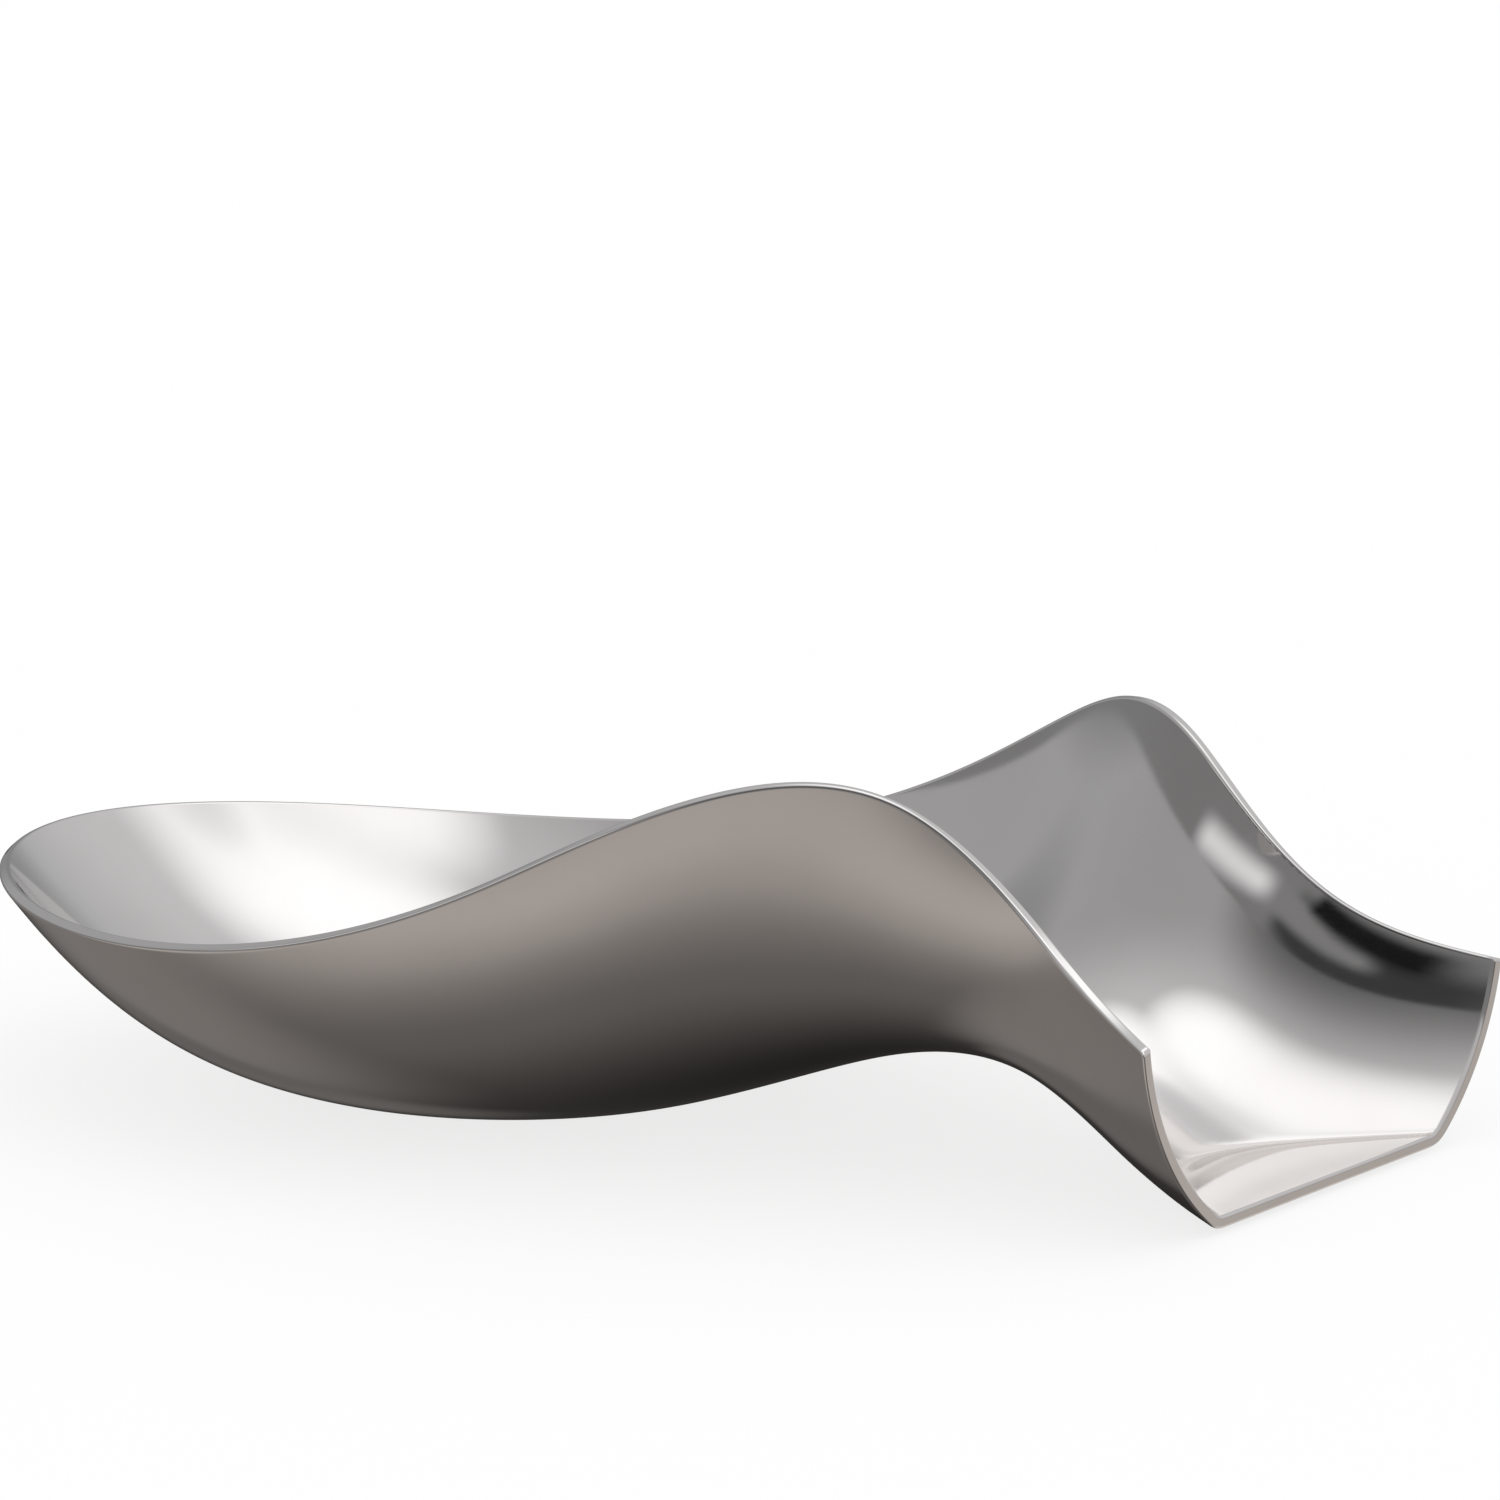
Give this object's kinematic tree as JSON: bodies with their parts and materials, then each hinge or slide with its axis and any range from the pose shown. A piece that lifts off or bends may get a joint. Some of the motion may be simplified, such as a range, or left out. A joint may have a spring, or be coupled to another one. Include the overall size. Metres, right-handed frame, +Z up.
{
  "type": "cast metal serving dish",
  "caption": "Wave-rimmed cast metal table dish: an oval bowl that runs through a neck into an open trough whose flared lip lies flat on the table.",
  "frame": {"origin": "on the table, under the middle of the dish's bounding box", "axes": "+X from the bowl's tip to the trough's lip, +Y across the dish, +Z up"},
  "size_m": [0.34, 0.2336, 0.1],
  "materials": {
    "polished_alloy": "hand-polished casting",
    "clear_pad": "soft translucent elastomer"
  },
  "bodies": {
    "root": {"cast_shell": "polished_alloy", "bowl_pad_rear": "clear_pad", "bowl_pad_left": "clear_pad", "bowl_pad_right": "clear_pad", "lip_pad_left": "clear_pad", "lip_pad_right": "clear_pad"}
  },
  "joints": []
}
